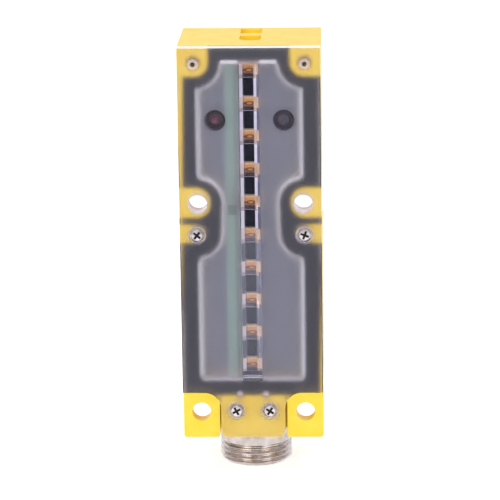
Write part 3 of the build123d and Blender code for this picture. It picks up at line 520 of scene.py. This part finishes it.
finishes = {
    # Filled polyester: a warm satin yellow with fine grain; the upper bores are painted
    # pale, painted light on their walls
    "housing_yellow": moulded("polyester_yellow_moulded", "#F8D435", "#FCDC49", 0.40, 0.30,
                              0.16, marks=[("#F4ECF4", HOLE, HOLE_RADIUS + 0.08)]),
    "cover_clear": cover_polycarbonate(),
    # Soft black rubber: nearly no gloss, a coarse grain
    "gasket_black": moulded("rubber_black_moulded", "#17171A", "#202025", 0.75, 0.4, 0.3),
    "lens_clear": strip_acrylic(),
    "element_amber": element_resin(),
    # Black nylon: deep black that hardly reflects, so the row stays dark behind the strip
    "rail_black": moulded("nylon_black_moulded", "#0B0C10", "#121318", 0.40, 0.3, 0.1,
                          gloss=0.1),
    # Grey ABS: an even matt blue grey
    "panel_grey": moulded("abs_grey_moulded", "#5C6470", "#656E7B", 0.60, 0.4, 0.15),
    "led_red": red_lamp(),
    # Smoked epoxy: dark grey with a smooth, soft gloss
    "led_dark": moulded("epoxy_smoked", "#33363D", "#3D4048", 0.30, 0.6, 0.05),
    "board_green": board_laminate(),
    # Headed steel under nickel: bright and slightly warm, with painted shade in the recesses
    "screw_steel": plated("steel_nickel_plated", "#C9C2C5", "#E3DEE0", 0.34, 0.25, 0.05,
                          screws=True),
    # Epoxy chip package: dull charcoal, finely pitted
    "chip_black": moulded("epoxy_black_package", "#2A2C30", "#33353A", 0.55, 0.2, 0.2),
    # Drawn aluminium can: pale grey metal with faint drawing rings
    "can_aluminium": plated("aluminium_drawn", "#C4C6CA", "#DADCE0", 0.30, 0.3, 0.10),
    # Unfilled nylon: milky off-white, satin
    "header_white": moulded("nylon_natural_moulded", "#DAD7CC", "#E6E3D9", 0.50, 0.3, 0.1),
    # Turned brass under nickel: warm grey metal with turning rings
    "shell_nickel": plated("brass_nickel_plated_turned", "#AEA39F", "#CFC7C6", 0.20, 0.20,
                           0.12),
    # Black nylon insert: satin black, a little lighter than the rail
    "insert_black": moulded("nylon_black_insert", "#15151A", "#1E1E23", 0.50, 0.3, 0.15),
    # Turned brass under gold: yellow metal, smooth
    "contact_gold": plated("brass_gold_plated", "#C9A050", "#E2BE70", 0.20, 0.2, 0.08),
    # Black rubber ring: dull black
    "seal_black": moulded("rubber_black_seal", "#141416", "#1B1B1E", 0.70, 0.4, 0.2),
    # Drawn PVC insulation: even brown, slightly glossy
    "wire_mixed": moulded("pvc_wire_brown", "#5A3626", "#6A4230", 0.45, 0.5, 0.05),
}
for part in frame["record"]["subparts"]:
    item = frame["nodes"][part["node"]]
    item.data.materials.clear()
    item.data.materials.append(finishes[part["material_slot"]])


# Connector thread

def surface(name, grid, material):
    """A closed piece from a grid of points: rows and columns both wrap round,
    and each cell of the grid is one quad."""
    rows, columns = grid.shape[:2]
    i, j = np.meshgrid(np.arange(rows), np.arange(columns), indexing="ij")
    k, m = (i + 1) % rows, (j + 1) % columns
    quads = np.stack([i * columns + j, i * columns + m, k * columns + m, k * columns + j],
                     -1).reshape(-1, 4)
    mesh = bpy.data.meshes.new(name)
    mesh.from_pydata(grid.reshape(-1, 3).tolist(), [], quads.tolist())
    mesh.update()
    piece = bpy.data.objects.new(name, mesh)
    bpy.context.collection.objects.link(piece)
    mesh.materials.append(material)
    for face in mesh.polygons:
        face.use_smooth = True
    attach(piece, "root")


def thread_grid(low, high, around=144, step=0.09):
    """Helical thread: at angle a and height h the radius is the root plus the
    thread's depth times a trapezoid wave of h/pitch - a/(2 pi), never over the
    45 degree lead at the free end or the run-out under the collar. The inner
    side of the sleeve is a plain cylinder just inside the lead's small end."""
    skin = 0.02                         # over the CAD root, so that no faces coincide
    steepness, foot = 1.3, 0.1          # flanks of the wave, and its flat root
    run_out, run_out_rise = 0.7, 0.25
    small_end = THREAD_ROOT - THREAD_LEAD
    wall = 0.25
    angles = np.linspace(0, 2 * np.pi, around, endpoint=False)
    a, h = np.meshgrid(angles, np.arange(low, high + 1e-9, step), indexing="ij")
    phase = np.mod(h / THREAD_PITCH - a / (2 * np.pi), 1.0)
    wave = np.clip((1 - np.abs(phase - 0.5) * 2) * steepness - foot, 0.0, 1.0)
    radius = THREAD_ROOT + skin + (THREAD_CREST - THREAD_ROOT - skin) * wave
    radius = np.minimum(radius, small_end + wall + (h - low))
    radius = np.where(h > high - run_out, np.minimum(radius, THREAD_ROOT + run_out_rise),
                      radius)
    radius = np.maximum(radius, small_end + skin)
    outer = np.stack([radius * np.cos(a), radius * np.sin(a), h], -1)
    a, h = np.meshgrid(angles, np.array([high, low]), indexing="ij")
    inside = small_end - wall
    inner = np.stack([inside * np.cos(a), inside * np.sin(a), h], -1)
    grid = np.concatenate([outer, inner], 1)[:, ::-1]
    return (grid + (0.0, SHELL_Y, 0.0)) * MM


surface("connector_thread",
        thread_grid(THREAD_END + 0.02, THREAD_END + THREAD_LENGTH - 0.02),
        finishes["shell_nickel"])


# Studio: white floor and backdrop, soft lights

def white_room(name):
    """Matt white paper with a faint cloud. It also shows white to the camera and in
    mirrors and glass: a little light of its own for those rays alone, so a shadow
    still shows on it. Its back is see-through, so that it hides nothing from behind
    or from below."""
    cloud_mm, own_light = 10 / 3, 0.5
    material, tree, place = start(name)
    cloud = add(tree, "ShaderNodeTexNoise", {"Vector": place, "Scale": 1 / (cloud_mm * MM)})
    colour = add(tree, "ShaderNodeValToRGB", [cloud.outputs["Fac"]],
                 [(0.3, "#F2F2F2"), (0.7, "#F7F7F7")])
    paper = add(tree, "ShaderNodeBsdfDiffuse", [colour.outputs[0]])
    rays = add(tree, "ShaderNodeLightPath").outputs
    seen = rays["Is Camera Ray"]
    for kind in ("Is Glossy Ray", "Is Transmission Ray"):
        seen = add(tree, "ShaderNodeMath", [seen, rays[kind]], operation="MAXIMUM").outputs[0]
    strength = add(tree, "ShaderNodeMath", [seen, own_light], operation="MULTIPLY").outputs[0]
    glow = add(tree, "ShaderNodeEmission", {"Strength": strength})
    lit = add(tree, "ShaderNodeAddShader", [paper.outputs[0], glow.outputs[0]])
    back = add(tree, "ShaderNodeNewGeometry").outputs["Backfacing"]
    gone = add(tree, "ShaderNodeBsdfTransparent")
    end(tree, add(tree, "ShaderNodeMixShader",
                  [back, lit.outputs[0], gone.outputs[0]]).outputs[0])
    return material


def sheet_of_paper(floor, front, back, bend, tall, half):
    """Floor that curves up into a backdrop: straight from front to back, a quarter
    circle of radius bend, straight up to tall, carried along X from -half to half."""
    turn = np.linspace(0, math.pi / 2, 17)
    y = np.concatenate([[front], back + bend * np.sin(turn), [back + bend]])
    z = np.concatenate([[floor], floor + bend * (1 - np.cos(turn)), [floor + tall]])
    x = np.array([-half, half])
    n = len(y)
    grid = np.stack([np.broadcast_to(x[:, None], (2, n)), np.broadcast_to(y, (2, n)),
                     np.broadcast_to(z, (2, n))], -1)
    j = np.arange(n - 1)
    quads = np.stack([j, n + j, n + j + 1, j + 1], -1)
    mesh = bpy.data.meshes.new("studio_paper")
    mesh.from_pydata(grid.reshape(-1, 3).tolist(), [], quads.tolist())
    mesh.materials.append(white_room("paper_white_matt"))
    for face in mesh.polygons:
        face.use_smooth = True
    paper = bpy.data.objects.new("studio_paper", mesh)
    bpy.context.collection.objects.link(paper)


sheet_of_paper(floor=(THREAD_END - 0.05) * MM, front=-0.306, back=0.55, bend=0.25, tall=1.6,
               half=2.0)


def soft_sky(white, light):
    """Even light from all round, and plain white where the camera looks past the
    paper."""
    world = bpy.data.worlds.new("studio_world")
    bpy.context.scene.world = world
    world.use_nodes = True
    sky = world.node_tree
    sky.nodes.clear()
    direct = add(sky, "ShaderNodeLightPath").outputs["Is Camera Ray"]
    level = add(sky, "ShaderNodeMapRange", {"Value": direct, "To Min": light, "To Max": white})
    air = add(sky, "ShaderNodeBackground", [paint("#FFFFFF"), level.outputs[0]])
    add(sky, "ShaderNodeOutputWorld", {"Surface": air.outputs[0]})


def soft_light(name, at, aim, width, height, watts):
    """A rectangular soft box at a place, aimed at a point."""
    data = bpy.data.lights.new(name, "AREA")
    data.shape = "RECTANGLE"
    data.size, data.size_y, data.energy = width, height, watts
    lamp = bpy.data.objects.new(name, data)
    bpy.context.collection.objects.link(lamp)
    lamp.location = at
    lamp.rotation_euler = (Vector(aim) - Vector(at)).to_track_quat("-Z", "Y").to_euler()


soft_sky(white=1.0, light=0.42)
middle = (0.0, 0.0, 0.02)
soft_light("box_top", (0.0, -0.10, 0.85), middle, 0.7, 0.6, watts=2.8)
soft_light("box_front_left", (-0.55, -0.85, 0.35), middle, 0.5, 0.7, watts=4.2)
soft_light("box_front_right", (0.60, -0.80, 0.25), middle, 0.5, 0.7, watts=3.4)


# Camera at the photograph's angle, from the fit to its corners, holes and thread

def photo_camera(azimuth, elevation, roll, distance, target, focal_pixels, photo_pixels):
    """A camera at a distance from the target along azimuth and elevation, turned
    by roll about its line of sight; the focal length in pixels of the photograph
    becomes millimetres on the sensor."""
    azimuth, elevation, roll = (math.radians(angle) for angle in (azimuth, elevation, roll))
    away = Vector((math.sin(azimuth) * math.cos(elevation),
                   -math.cos(azimuth) * math.cos(elevation), math.sin(elevation)))
    side = (-away).cross(Vector((0, 0, 1))).normalized()
    up = side.cross(-away)
    right = math.cos(roll) * side + math.sin(roll) * up
    above = -math.sin(roll) * side + math.cos(roll) * up
    eye = bpy.data.cameras.new("photo_camera")
    eye.sensor_width = 36.0
    eye.lens = focal_pixels / photo_pixels * eye.sensor_width
    eye.clip_start = 0.01
    camera = bpy.data.objects.new("photo_camera", eye)
    bpy.context.collection.objects.link(camera)
    camera.matrix_world = Matrix((
        (right.x, above.x, away.x, target.x + distance * away.x),
        (right.y, above.y, away.y, target.y + distance * away.y),
        (right.z, above.z, away.z, target.z + distance * away.z),
        (0, 0, 0, 1)))
    return camera


bpy.context.scene.camera = photo_camera(
    azimuth=2.424, elevation=14.95, roll=-0.832, distance=1.07512,
    target=Vector((-0.274 * MM, COVER_FACE * MM, 18.947 * MM)), focal_pixels=3575.585,
    photo_pixels=500)
bpy.context.scene.view_settings.view_transform = "Standard"
